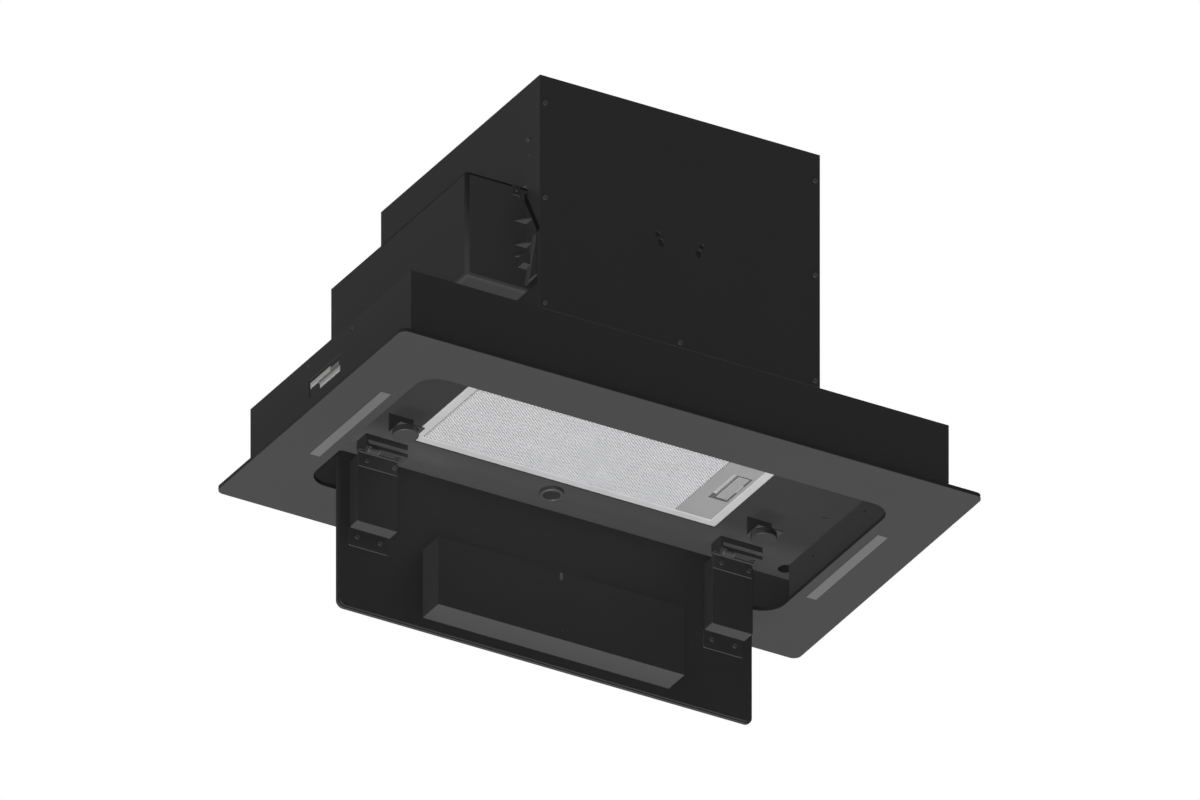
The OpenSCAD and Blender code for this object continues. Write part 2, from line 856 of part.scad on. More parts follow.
module impeller() {
  z0 = cas_z0 + casing_t + fan_rise;
  color("#3a3a3a") translate([fan_x, fan_y, z0]) {
    difference() {
      union() {
        translate([0, 0, fan_disc_rise]) cylinder(r = fan_r, h = fan_disc_t);
        translate([0, 0, fan_disc_rise - hub_h]) cylinder(r = hub_r, h = hub_h + fan_disc_t);
        for (z = [0, fan_h - ring_t]) {
          translate([0, 0, z]) difference() {
            cylinder(r = fan_r, h = ring_t);
            translate([0, 0, -cut]) cylinder(r = fan_r - blade_l, h = ring_t + 2 * cut);
          }
        }
        for (i = [0 : blade_n - 1]) {
          rotate(i * 360 / blade_n) translate([fan_r - blade_l / 2, 0, fan_h / 2]) rotate(blade_tilt)
            cube([blade_l, blade_t, fan_h], center = true);
        }
      }
      translate([0, 0, fan_disc_rise - hub_h - cut]) cylinder(r = shaft_r, h = hub_h + fan_disc_t + 2 * cut);
    }
  }
}

module motor() {
  color("#8a8a8a") translate([fan_x, fan_y, 0]) difference() {
    union() {
      translate([0, 0, motor_top - motor_plate_t]) cylinder(r = motor_plate_r, h = motor_plate_t);
      translate([0, 0, motor_low]) cylinder(r = motor_r, h = motor_h);
      translate([0, 0, motor_low - motor_nose_h]) cylinder(r = motor_nose_r, h = motor_nose_h);
    }
    translate([0, 0, motor_low - motor_nose_h - cut])
      cylinder(r = shaft_r + run_gap, h = bearing_depth + cut);
  }
}

module motor_shaft() {
  color("silver") translate([fan_x, fan_y, shaft_top - shaft_h]) cylinder(r = shaft_r, h = shaft_h);
}

module outlet_duct() {
  z0 = cas_z1;
  z1 = tower_top - sheet_t;
  lo = [collar_x - duct_w / 2, collar_y - duct_w / 2, z0];
  hi = [collar_x + duct_w / 2, collar_y + duct_w / 2, z1];
  wall = [duct_wall, duct_wall, -cut];
  color("#5a5a5a") difference() {
    box_at(lo, hi);
    box_at(lo + wall, hi - wall);
  }
}

module outlet_collar() {
  z0 = tower_top;
  color("#8c8c8c") translate([collar_x, collar_y, z0]) difference() {
    union() {
      cylinder(r = collar_r, h = collar_h);
      cylinder(r = collar_r + collar_flange_w, h = collar_flange_t);
    }
    translate([0, 0, seat_z + seat_t]) cylinder(r = collar_r - collar_t, h = collar_h);
    translate([0, 0, -cut]) cylinder(r = collar_r - collar_t, h = seat_z + cut);
    cylinder(r = collar_r - collar_t - seat_w, h = collar_h);
    translate([0, 0, damper_rise]) rotate([90, 0, 0])
      cylinder(r = damper_pin_r + run_gap, h = 2 * collar_r + 2 * cut, center = true);
    for (i = [0 : duct_screw_n - 1]) {
      rotate(45 + i * 360 / duct_screw_n) translate([collar_r + collar_flange_w / 2, 0, 0])
        screw_hole(2 * cut);
    }
  }
}

module damper_pin() {
  color("silver") translate([collar_x, collar_y, tower_top + damper_rise]) rotate([90, 0, 0])
    cylinder(r = damper_pin_r, h = 2 * (collar_r - pin_end_gap), center = true);
}

// A half-round flap on its own knuckles round the shared pin
module damper(side) {
  r = collar_r - collar_t - damper_gap;
  pitch = knuckle_l + loose_gap;
  first = side < 0 ? 0 : 1;
  span = knuckle_n * pitch;
  color("#2b2b2b") translate([collar_x, collar_y, tower_top + damper_rise]) difference() {
    union() {
      intersection() {
        translate([0, 0, -damper_t / 2]) cylinder(r = r, h = damper_t);
        box_at([side < 0 ? -r : knuckle_r + damper_gap / 2, -r, -damper_t],
          [side < 0 ? -knuckle_r - damper_gap / 2 : r, r, damper_t]);
      }
      for (i = [first : 2 : knuckle_n - 1]) {
        y0 = i * pitch - span / 2;
        translate([0, y0 + knuckle_l, 0]) rotate([90, 0, 0]) cylinder(r = knuckle_r, h = knuckle_l);
        box_at([side < 0 ? -knuckle_r - 2 * damper_gap : 0, y0, -damper_t / 2],
          [side < 0 ? 0 : knuckle_r + 2 * damper_gap, y0 + knuckle_l, damper_t / 2]);
      }
    }
    rotate([90, 0, 0]) cylinder(r = damper_pin_r + run_gap, h = 2 * collar_r, center = true);
  }
}

module damper_left() {
  damper(-1);
}

module damper_right() {
  damper(1);
}

module control_box() {
  y0 = control_y - control_l / 2;
  y1 = control_y + control_l / 2;
  z1 = control_z0 + control_h;
  color("#1e1e1e") difference() {
    box_at([control_x0, y0, control_z0], [control_x1, y1, z1]);
    box_at([control_x0 - cut, y0 + control_t, control_z0 + control_t],
      [control_x1 - control_t, y1 - control_t, z1 - control_t]);
  }
}

module control_board() {
  x0 = control_x0 + board_back;
  rim = control_t + touch_gap;
  color("darkgreen") {
    box_at([x0, control_y - control_l / 2 + rim, control_z0 + rim],
      [x0 + board_t, control_y + control_l / 2 - rim, control_z0 + control_h - rim]);
    for (row = [-1, 1]) {
      box_at([x0 + board_t, control_y + row * control_l / 4 - control_t, control_z0 + rim],
        [control_x1 - control_t, control_y + row * control_l / 4 + control_t, control_z0 + rim + plug_h]);
    }
  }
}

module connectors() {
  x0 = -box_x + touch_gap;
  x1 = control_x0 + board_back;
  color("white") for (plug = [plug_upper, plug_lower]) {
    difference() {
      box_at([x0, plug[0] - plug_l / 2, plug[1]], [x1, plug[0] + plug_l / 2, plug[1] + plug_h]);
      box_at([x0 - cut, plug[0] - plug_l / 2 + control_t, plug[1] + control_t],
        [x0 + cut, plug[0] + plug_l / 2 - control_t, plug[1] + plug_h - control_t]);
    }
  }
}

module cable_gland() {
  color("#1a1a1a") translate([gland_x, tower_y1, tower_top - gland_drop]) rotate([-90, 0, 0]) difference() {
    union() {
      translate([0, 0, -gland_in]) cylinder(r = gland_r, h = gland_in + gland_l);
      cylinder(r = gland_nut_r, h = gland_nut_t, $fn = 6);
      translate([0, 0, -sheet_t - gland_nut_t]) cylinder(r = gland_nut_r, h = gland_nut_t, $fn = 6);
    }
    translate([0, 0, -gland_in - cut]) cylinder(r = gland_bore_r, h = gland_in + gland_l + 2 * cut);
  }
}

module filter_frame() {
  z0 = pan_h;
  z1 = z0 + filter_t;
  y0 = filter_y - filter_d / 2;
  y1 = filter_y + filter_d / 2;
  color("#dcdcdc") {
    difference() {
      box_at([-filter_x, y0, z0], [filter_x, y1, z1]);
      box_at([-filter_x + rim_w, y0 + rim_w, z0 - cut], [filter_x - rim_w, y1 - rim_w, z1 + cut]);
      box_at([filter_x - rim_w - cut, recess_y - tongue_w / 2 - touch_gap, z0 + tongue_rise - touch_gap],
        [filter_x + cut, recess_y + tongue_w / 2 + touch_gap, z0 + tongue_rise + tongue_t + touch_gap]);
    }
    for (end = [-1, 1]) {
      y = filter_y + end * lug_pitch / 2;
      box_at([-filter_x - lug_reach, y - lug_len / 2, z0 + lug_rise],
        [-filter_x + rim_w, y + lug_len / 2, z0 + lug_rise + lug_thick]);
    }
  }
}

module filter_mesh() {
  color("#c8c8c8") box_at([-filter_x + rim_w, filter_y - filter_d / 2 + rim_w, pan_h + mesh_rise],
    [handle_x0, filter_y + filter_d / 2 - rim_w, pan_h + mesh_rise + mesh_t]);
}

module filter_handle() {
  y0 = filter_y - filter_d / 2 + rim_w;
  y1 = filter_y + filter_d / 2 - rim_w;
  z0 = pan_h;
  cup_lo = [recess_x0, recess_y - recess_l / 2, z0];
  cup_hi = [recess_x1, recess_y + recess_l / 2, z0 + recess_t];
  wall = [recess_wall, recess_wall, 0];
  color("#9a9a9a") difference() {
    union() {
      box_at([handle_x0, y0, z0], [filter_x - rim_w, y1, z0 + handle_t]);
      box_at(cup_lo - wall, cup_hi + wall + [0, 0, recess_wall]);
    }
    box_at(cup_lo - [0, 0, cut], cup_hi);
    box_at([recess_x1 - cut, recess_y - tongue_w / 2 - touch_gap, z0 + tongue_rise - touch_gap],
      [recess_x1 + recess_wall + cut, recess_y + tongue_w / 2 + touch_gap,
        z0 + tongue_rise + tongue_t + touch_gap]);
  }
}

// The slider in the finger recess and the tongue that it pushes out through the rim
module filter_latch() {
  x1 = recess_x1 - slider_gap;
  x0 = x1 - slider_w;
  z0 = pan_h + slider_rise;
  pitch = slider_w / (grip_n + 1);
  color("#8c8c8c") {
    difference() {
      box_at([x0, recess_y - slider_l / 2, z0], [x1, recess_y + slider_l / 2, z0 + slider_t]);
      for (i = [1 : grip_n]) {
        box_at([x0 + i * pitch - grip_w / 2, recess_y - slider_l / 2 + cut, z0 - cut],
          [x0 + i * pitch + grip_w / 2, recess_y + slider_l / 2 - cut, z0 + grip_t]);
      }
    }
    box_at([x1 - cut, recess_y - tongue_w / 2, pan_h + tongue_rise],
      [filter_x - tongue_tip_gap, recess_y + tongue_w / 2, pan_h + tongue_rise + tongue_t]);
  }
}

module button_bezel() {
  color("#4a4a4a") translate([0, button_y, 0]) difference() {
    union() {
      translate([0, 0, pan_h - bezel_t]) cylinder(r = bezel_r, h = bezel_t);
      translate([0, 0, pan_h]) cylinder(r = bezel_neck_r, h = bezel_neck_h);
    }
    translate([0, 0, pan_h - bezel_t - cut]) cylinder(r = bezel_bore_r, h = bezel_t + bezel_neck_h + 2 * cut);
  }
}

module push_button() {
  color("#1a1a1a") translate([0, button_y, 0]) {
    translate([0, 0, button_z0]) cylinder(r = button_r, h = button_h);
    translate([0, 0, button_collar_z]) cylinder(r = button_collar_r, h = button_collar_t);
  }
}

module switch_body() {
  bore_h = button_z0 + button_h + button_travel + touch_gap - switch_z0;
  color("#1e1e1e") translate([0, button_y, switch_z0]) difference() {
    translate([-switch_w / 2, -switch_w / 2, 0]) cube([switch_w, switch_w, switch_h]);
    translate([0, 0, -cut]) cylinder(r = button_collar_r + touch_gap, h = bore_h + cut);
  }
}

module catch_bracket(side) {
  x0 = side * catch_x + catch_shift - catch_w / 2;
  color("#333333") difference() {
    union() {
      box_at([x0, catch_y + catch_back, disc_z1], [x0 + catch_w, catch_y + catch_back + catch_t, pan_h]);
      box_at([x0, catch_y - catch_front, disc_z1],
        [x0 + catch_w, catch_y + catch_back + catch_t, disc_z1 + catch_t]);
    }
    translate([side * catch_x, catch_y, disc_z1]) screw_hole(cut);
  }
}

module catch_bracket_left() {
  catch_bracket(-1);
}

module catch_bracket_right() {
  catch_bracket(1);
}

module catch_disc(side) {
  color("#444444") translate([side * catch_x, catch_y, 0]) {
    translate([0, 0, disc_z0]) cylinder(r = disc_r, h = disc_t);
    translate([0, 0, disc_z1]) cylinder(r = shank_r, h = catch_t);
  }
}

module catch_disc_left() {
  catch_disc(-1);
}

module catch_disc_right() {
  catch_disc(1);
}

module ear_outline() {
  translate([pivot_y, pivot_z]) circle(ear_r);
  polygon([[pivot_y - ear_r, pivot_z], [pivot_y + ear_r, pivot_z], [case_y0 + ear_foot, case_z0],
    [case_y0 + ear_foot, pan_h], [case_y0, pan_h], [case_y0, case_z0]]);
}

// The fixed bracket: a stepped case under the pan, and an ear down to the pin
module hinge_bracket(x) {
  color("#2f2f2f") translate([x, 0, 0]) difference() {
    union() {
      box_at([case_x0, case_y0, pan_h - case_step_h], [case_x1, case_y1, pan_h]);
      box_at([case_x0, case_y0 + case_step_l, case_z0],
        [case_x1 + case_step_w, case_y1, pan_h - case_step_h]);
      translate([case_x0, 0, 0]) rotate([90, 0, 90]) linear_extrude(ear_t) ear_outline();
    }
    translate([case_x0, pivot_y, pivot_z]) rotate([0, 90, 0])
      cylinder(r = pin_r + run_gap, h = 2 * (ear_t + cut), center = true);
    for (end = [-1, 1]) {
      translate([bracket_screw_x + end * bracket_screw_pitch / 2, bracket_screw_y, case_z0])
        screw_hole(2 * case_h);
    }
  }
}

module hinge_bracket_left() {
  hinge_bracket(hinge_xs[0]);
}

module hinge_bracket_right() {
  hinge_bracket(hinge_xs[1]);
}

module hinge_pin(x) {
  l = barrel_x1 + ear_side_gap - case_x0;
  color("silver") translate([x + case_x0, pivot_y, pivot_z]) rotate([0, 90, 0]) {
    cylinder(r = pin_r, h = l);
    for (z = [-pin_head_t, l]) {
      translate([0, 0, z]) cylinder(r = pin_head_r, h = pin_head_t);
    }
  }
}

module hinge_pin_left() {
  hinge_pin(hinge_xs[0]);
}

module hinge_pin_right() {
  hinge_pin(hinge_xs[1]);
}

// The moving leaf: screwed to the block, folded up to the barrel round the pin
module hinge_leaf(x) {
  x0 = leaf_shift - leaf_w / 2;
  x1 = leaf_shift + leaf_w / 2;
  fold_y = pivot_y - leaf_fold_t;
  color("#2f2f2f") hang() translate([x, 0, 0]) difference() {
    union() {
      box_at([x0, pivot_y - leaf_l, block_z1], [x1, pivot_y, block_z1 + leaf_t]);
      box_at([x0, fold_y, block_z1], [x1, pivot_y, block_z1 + leaf_fold_h]);
      box_at([barrel_x0, fold_y, block_z1], [barrel_x1, pivot_y, pivot_z]);
      translate([barrel_x0, pivot_y, pivot_z]) rotate([0, 90, 0]) cylinder(r = barrel_r, h = barrel_l);
    }
    translate([barrel_x0 - cut, pivot_y, pivot_z]) rotate([0, 90, 0])
      cylinder(r = pin_r + run_gap, h = barrel_l + 2 * cut);
    for (end = [-1, 1]) {
      translate([leaf_screw_shift + end * leaf_screw_pitch / 2, pivot_y - leaf_screw_in, block_z1])
        screw_hole(2 * cut);
    }
  }
}

module hinge_leaf_left() {
  hinge_leaf(hinge_xs[0]);
}

module hinge_leaf_right() {
  hinge_leaf(hinge_xs[1]);
}

module hinge_block(x) {
  color("#2b2b2b") hang() translate([x, 0, 0]) difference() {
    union() {
      translate([0, (block_y0 + block_y1) / 2, liner_z1]) linear_extrude(block_h)
        round_rect(hinge_w, block_l, block_r);
      translate([block_foot_shift, block_y0 - block_foot_l / 2, liner_z1]) linear_extrude(block_foot_t)
        round_rect(block_foot_w, block_foot_l + 2 * block_r, block_r);
    }
    for (end = [-1, 1]) {
      translate([leaf_screw_shift + end * leaf_screw_pitch / 2, pivot_y - leaf_screw_in, block_z1])
        screw_hole(block_screw_l);
      translate([block_foot_shift + end * block_screw_pitch / 2, block_y0 - block_screw_y, liner_z1])
        screw_hole(block_foot_t + cut);
    }
  }
}

module hinge_block_left() {
  hinge_block(hinge_xs[0]);
}

module hinge_block_right() {
  hinge_block(hinge_xs[1]);
}

module flap_panel() {
  color("#303030") hang() translate([0, 0, flap_z0]) linear_extrude(flap_t)
    round_rect(2 * flap_x, 2 * flap_y, flap_r);
}

module flap_liner() {
  color("#262626") hang() translate([0, 0, flap_z1]) difference() {
    linear_extrude(liner_t) round_rect(2 * (flap_x - liner_inset), 2 * (flap_y - liner_inset), flap_r);
    for (x = hinge_xs, end = [-1, 1]) {
      translate([x + block_foot_shift + end * block_screw_pitch / 2, block_y0 - block_screw_y, 0])
        screw_hole(2 * liner_t);
    }
  }
}

module flap_baffle() {
  z1 = liner_z1 + baffle_h;
  x = flap_x - baffle_inset;
  color("#262626") hang() difference() {
    box_at([-x, baffle_y0, liner_z1], [x, baffle_y1, z1]);
    box_at([baffle_wall - x, baffle_y0 + baffle_wall, liner_z1 - cut],
      [x - baffle_wall, baffle_y1 - baffle_wall, z1 - baffle_wall]);
    translate([0, baffle_y1 - baffle_slot_in, z1])
      cube([baffle_slot_w, baffle_slot_l, 2 * cut], center = true);
    translate([0, baffle_y0 + baffle_pip_in, z1]) cylinder(r = baffle_pip_r, h = 2 * cut, center = true);
  }
}

module box_screws() {
  color("#5a5a5a") {
    for (side = [-1, 1], z = screw_rows) {
      translate([side * (tower_x - screw_in), tower_y0, z]) rotate([90, 0, 0]) screw(box_screw_l);
      translate([side * (tower_x - screw_in), tower_y1, z]) rotate([-90, 0, 0]) screw(box_screw_l);
    }
    translate([0, tower_y0, tab_screw_z]) rotate([90, 0, 0]) screw(box_screw_l);
    for (i = [0 : duct_screw_n - 1]) {
      rotate_about(collar_x, collar_y, 45 + i * 360 / duct_screw_n)
        translate([collar_r + collar_flange_w / 2, 0, tower_top + collar_flange_t]) screw(box_screw_l);
    }
  }
}

module hinge_screws() {
  color("#5a5a5a") for (x = hinge_xs, end = [-1, 1]) {
    translate([x + bracket_screw_x + end * bracket_screw_pitch / 2, bracket_screw_y, case_z0])
      rotate([180, 0, 0]) screw(bracket_screw_l);
  }
}

module leaf_screws() {
  color("#6a6a6a") hang() for (x = hinge_xs, end = [-1, 1]) {
    translate([x + leaf_screw_shift + end * leaf_screw_pitch / 2, pivot_y - leaf_screw_in, block_z1 + leaf_t])
      screw(leaf_screw_l);
    translate([x + block_foot_shift + end * block_screw_pitch / 2, block_y0 - block_screw_y,
      liner_z1 + block_foot_t]) screw(foot_screw_l);
  }
}

module pan_screws() {
  color("#5a5a5a") for (side = [-1, 1], end = [-1, 1]) {
    translate([side * pan_screw_x, end * (pan_y + foot_flange / 2), sheet_t]) screw(sheet_t);
  }
}

module earth_screw() {
  color("#5a5a5a") translate([-tower_x, earth_y, box_h + earth_z]) rotate([0, -90, 0]) screw(box_screw_l);
}

cover_plate();
led_lens_left();
led_lens_right();
led_board_left();
led_board_right();
led_housing_left();
led_housing_right();
lower_box();
inner_pan();
upper_front_panel();
upper_left_panel();
upper_right_panel();
upper_rear_panel();
upper_top_panel();
blower_base();
blower_scroll();
blower_lid();
impeller();
motor();
motor_shaft();
motor_mounts();
outlet_duct();
outlet_collar();
damper_left();
damper_right();
damper_pin();
control_box();
control_board();
connectors();
cable_gland();
filter_frame();
filter_mesh();
filter_handle();
filter_latch();
button_bezel();
push_button();
switch_body();
catch_bracket_left();
catch_bracket_right();
catch_disc_left();
catch_disc_right();
hinge_bracket_left();
hinge_bracket_right();
hinge_pin_left();
hinge_pin_right();
hinge_leaf_left();
hinge_leaf_right();
hinge_block_left();
hinge_block_right();
flap_panel();
flap_liner();
flap_baffle();
box_screws();
hinge_screws();
leaf_screws();
pan_screws();
earth_screw();
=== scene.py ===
"""A range hood insert seen from below: its finishes and fine shapes, set round its frame."""
import json
import math

import bpy
from mathutils import Matrix, Vector


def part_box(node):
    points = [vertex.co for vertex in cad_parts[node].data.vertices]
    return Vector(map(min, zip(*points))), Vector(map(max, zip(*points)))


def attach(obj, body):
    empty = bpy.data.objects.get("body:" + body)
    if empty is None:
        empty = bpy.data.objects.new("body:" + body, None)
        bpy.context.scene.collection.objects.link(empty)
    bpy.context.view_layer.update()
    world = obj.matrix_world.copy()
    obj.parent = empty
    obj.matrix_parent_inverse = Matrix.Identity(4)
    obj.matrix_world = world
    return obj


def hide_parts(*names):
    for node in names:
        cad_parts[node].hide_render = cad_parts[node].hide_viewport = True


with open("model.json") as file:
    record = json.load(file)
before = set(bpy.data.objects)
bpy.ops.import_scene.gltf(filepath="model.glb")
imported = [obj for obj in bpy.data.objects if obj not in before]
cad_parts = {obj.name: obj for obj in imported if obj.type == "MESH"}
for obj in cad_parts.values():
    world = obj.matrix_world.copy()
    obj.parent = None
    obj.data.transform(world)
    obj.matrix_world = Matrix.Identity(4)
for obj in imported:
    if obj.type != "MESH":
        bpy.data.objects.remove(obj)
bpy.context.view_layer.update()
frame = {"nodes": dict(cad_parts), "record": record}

mm = 0.001
deg = math.radians(1)
body_of = {}
for body, members in frame["record"]["behaviour"]["bodies"].items():
    for member in members:
        body_of[member] = body
slot_of = {}
for part in frame["record"]["subparts"]:
    slot_of[part["node"]] = part["material_slot"]


# Camera
def place_camera():
    """A parallel camera 30 degrees to the left of the front and 30 degrees below it."""
    raised, shifted = 99.4 * mm, 0.4 * mm
    distance, width = 2.2, 1.2539
    sine, cosine = math.sin(30 * deg), math.cos(30 * deg)
    across = Vector((cosine, -sine, 0))
    to_camera = Vector((-sine * cosine, -cosine ** 2, -sine))
    upward = to_camera.cross(across)
    plate_middle = Vector((0, 0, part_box("cover_plate")[0].z))
    target = plate_middle + upward * raised + across * shifted
    data = bpy.data.cameras.new("camera")
    data.type = "ORTHO"
    data.ortho_scale = width
    camera = bpy.data.objects.new("camera", data)
    turned = Matrix((across, upward, to_camera)).transposed().to_4x4()
    camera.matrix_world = Matrix.Translation(target + to_camera * distance) @ turned
    bpy.context.scene.collection.objects.link(camera)
    bpy.context.scene.camera = camera


place_camera()


# Shader maths
class Wire:
    """A socket of a shader tree. Adding or multiplying it adds a Math node."""

    def __init__(self, finish, socket):
        self.finish = finish
        self.socket = socket

    def maths(self, operation, other):
        return self.finish.node("ShaderNodeMath", {"operation": operation}, {0: self, 1: other})

    def __add__(self, other):
        return self.maths("ADD", other)

    def __mul__(self, other):
        return self.maths("MULTIPLY", other)


class Finish:
    """A material round a Principled shader, with one method that adds its nodes."""

    def __init__(self, name, colour, roughness, metallic=0.0, specular=0.25):
        self.material = bpy.data.materials.new(name)
        self.material.use_nodes = True
        self.tree = self.material.node_tree
        self.shader = self.tree.nodes["Principled BSDF"]
        self.colour = (*colour, 1.0)
        self.put("Base Color", self.colour)
        self.put("Roughness", roughness)
        self.put("Metallic", metallic)
        self.put("Specular IOR Level", specular)

    def plug(self, socket, value):
        """Links a wire to a socket, or sets the socket to a plain value."""
        if isinstance(value, Wire):
            self.tree.links.new(value.socket, socket)
        else:
            socket.default_value = value

    def put(self, name, value):
        """Gives a value or a wire to one input of the Principled shader."""
        self.plug(self.shader.inputs[name], value)

    def node(self, kind, settings=None, inputs=None, output=0):
        """Adds a node with its settings and inputs, and returns one of its outputs."""
        made = self.tree.nodes.new(kind)
        for key, value in (settings or {}).items():
            setattr(made, key, value)
        for key, value in (inputs or {}).items():
            self.plug(made.inputs[key], value)
        return Wire(self, made.outputs[output])

    def place(self, stretch=(1.0, 1.0, 1.0)):
        """Object coordinates, stretched along the axes."""
        raw = self.node("ShaderNodeTexCoord", output="Object")
        return self.node("ShaderNodeMapping", inputs={"Vector": raw, "Scale": stretch})

    def noise(self, size, detail=2.0, stretch=(1.0, 1.0, 1.0)):
        """Soft noise from 0 to 1 whose lumps are about size metres wide."""
        inputs = {"Vector": self.place(stretch), "Scale": 1 / size, "Detail": detail}
        return self.node("ShaderNodeTexNoise", inputs=inputs)

    def tint(self, factor, darker, lighter):
        """The finish's colour times darker where factor is 0 and times lighter where it is 1."""
        low = tuple(c * darker for c in self.colour[:3]) + (1.0,)
        high = tuple(min(c * lighter, 1.0) for c in self.colour[:3]) + (1.0,)
        self.put("Base Color", self.node(
            "ShaderNodeMix", {"data_type": "RGBA"}, {0: factor, 6: low, 7: high}, output=2))

    def relief(self, height, distance):
        """Bumps up to distance metres high."""
        self.put("Normal", self.node("ShaderNodeBump", inputs={"Height": height, "Distance": distance}))


# Finishes
peel_size = 0.5 * mm
cloud_size = 60 * mm
plain_gloss = 0.12


def powder_coat(name, colour, roughness=0.5, grain=peel_size, depth=0.03 * mm):
    """Baked powder paint: an orange-peel grain, faint clouds and slightly uneven gloss."""
    finish = Finish(name, colour, roughness, specular=plain_gloss)
    peel = finish.noise(grain)
    clouds = finish.noise(cloud_size, 3.0)
    finish.tint(clouds * 0.6 + peel * 0.4, 0.93, 1.07)
    finish.put("Roughness", clouds * 0.08 + peel * 0.10 + (roughness - 0.09))
    finish.relief(peel, depth)
    return finish.material


def moulded(name, colour, roughness=0.5, depth=0.03 * mm, specular=plain_gloss):
    """Moulded plastic with the fine spark texture of its tool."""
    spark_size, flow_size = 0.35 * mm, 25 * mm
    finish = Finish(name, colour, roughness, specular=specular)
    spark = finish.node(
        "ShaderNodeTexVoronoi", inputs={"Vector": finish.place(), "Scale": 1 / spark_size})
    flow = finish.noise(flow_size, stretch=(1.0, 1.0, 0.4))
    finish.tint(flow, 0.94, 1.06)
    finish.put("Roughness", spark * 0.12 + flow * 0.06 + (roughness - 0.07))
    finish.relief(spark, depth)
    return finish.material


def rolled_metal(name, colour, roughness=0.4, along="x", metallic=0.85):
    """Rolled sheet or drawn bar with fine streaks along one axis and faint stains."""
    streak_size, streak_stretch, stain_size = 0.48 * mm, 0.012, 35 * mm
    finish = Finish(name, colour, roughness, metallic=metallic, specular=0.5)
    stretch = [1.0, 1.0, 1.0]
    stretch["xyz".index(along)] = streak_stretch
    streaks = finish.noise(streak_size, 3.0, tuple(stretch))
    stains = finish.noise(stain_size, 3.0)
    finish.tint(streaks * 0.6 + stains * 0.4, 0.88, 1.1)
    finish.put("Roughness", streaks * 0.16 + stains * 0.1 + (roughness - 0.13))
    finish.relief(streaks, 0.015 * mm)
    return finish.material


def spangled_zinc(name, colour):
    """Zinc-coated sheet with its crystal patches."""
    warp_size, crystal_size = 4 * mm, 7 * mm
    finish = Finish(name, colour, 0.42, metallic=0.8, specular=0.5)
    warp = finish.noise(warp_size)
    patches = finish.node(
        "ShaderNodeTexVoronoi", inputs={"Vector": finish.place(), "Scale": 1 / crystal_size},
        output="Color")
    shade = finish.node("ShaderNodeSeparateColor", inputs={"Color": patches})
    finish.tint(shade * 0.7 + warp * 0.3, 0.78, 1.18)
    finish.put("Roughness", shade * 0.2 + 0.32)
    finish.relief(warp, 0.02 * mm)
    return finish.material


def frosted(name, colour):
    """A frosted diffuser: satin, with the fine cloud of its filler."""
    filler_size, band_size = 0.8 * mm, 12 * mm
    finish = Finish(name, colour, 0.38, specular=0.4)
    cloud = finish.noise(filler_size)
    bands = finish.noise(band_size, 1.0, (0.1, 1.0, 1.0))
    finish.tint(cloud * 0.7 + bands * 0.3, 0.93, 1.07)
    finish.put("Roughness", cloud * 0.12 + 0.32)
    finish.relief(cloud, 0.01 * mm)
    return finish.material


def solder_mask(name, colour):
    """A circuit board's lacquer over its copper tracks."""
    tracks_per_metre, gap = 90.0, 0.03
    finish = Finish(name, colour, 0.3, specular=0.5)
    tracks = finish.node("ShaderNodeTexBrick", {"offset": 0.37}, {
        "Vector": finish.place(), "Scale": tracks_per_metre, "Mortar Size": gap}, "Fac")
    finish.tint(tracks, 1.0, 1.6)
    finish.put("Roughness", tracks * 0.15 + 0.28)
    finish.relief(tracks, 0.03 * mm)
    return finish.material


def rubber(name, colour):
    """Matt rubber with a bloom on it."""
    bloom_size = 3 * mm
    finish = Finish(name, colour, 0.8, specular=0.2)
    bloom = finish.noise(bloom_size, 4.0)
    finish.tint(bloom, 0.85, 1.3)
    finish.put("Roughness", bloom * 0.15 + 0.72)
    finish.relief(bloom, 0.04 * mm)
    return finish.material


def ceiling_painted_light(name, colour):
    """The coat of the pan's ceiling with painted light and shade: darker at the front and right, lighter
    behind the filter and most at its left end.
    """
    finish = Finish(name, colour, 0.5, specular=plain_gloss)
    spot = finish.node("ShaderNodeTexCoord", output="Object")
    along = finish.node("ShaderNodeSeparateXYZ", inputs={0: spot}, output="X")
    back = finish.node("ShaderNodeSeparateXYZ", inputs={0: spot}, output="Y")
    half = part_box("inner_pan")[1]
    brighten_from, brighten_to = half.y * 0.37, half.y * 0.70
    behind = finish.node("ShaderNodeMapRange", {"interpolation_type": "SMOOTHSTEP"}, {
        "Value": back, "From Min": brighten_from, "From Max": brighten_to})
    side = finish.node("ShaderNodeMapRange", inputs={
        "Value": along, "From Min": -half.x * 0.7, "From Max": half.x, "To Min": 0.86, "To Max": 0.49})
    peel = finish.noise(peel_size)
    clouds = finish.noise(cloud_size, 3.0)
    # painted light and shade: the colour darkens towards the front and the right and brightens behind the
    # filter, most at the left
    finish.tint(behind * side + clouds * 0.08 + peel * 0.04, 0.66, 1.40)
    finish.put("Roughness", clouds * 0.08 + peel * 0.10 + 0.41)
    finish.relief(peel, 0.03 * mm)
    return finish.material


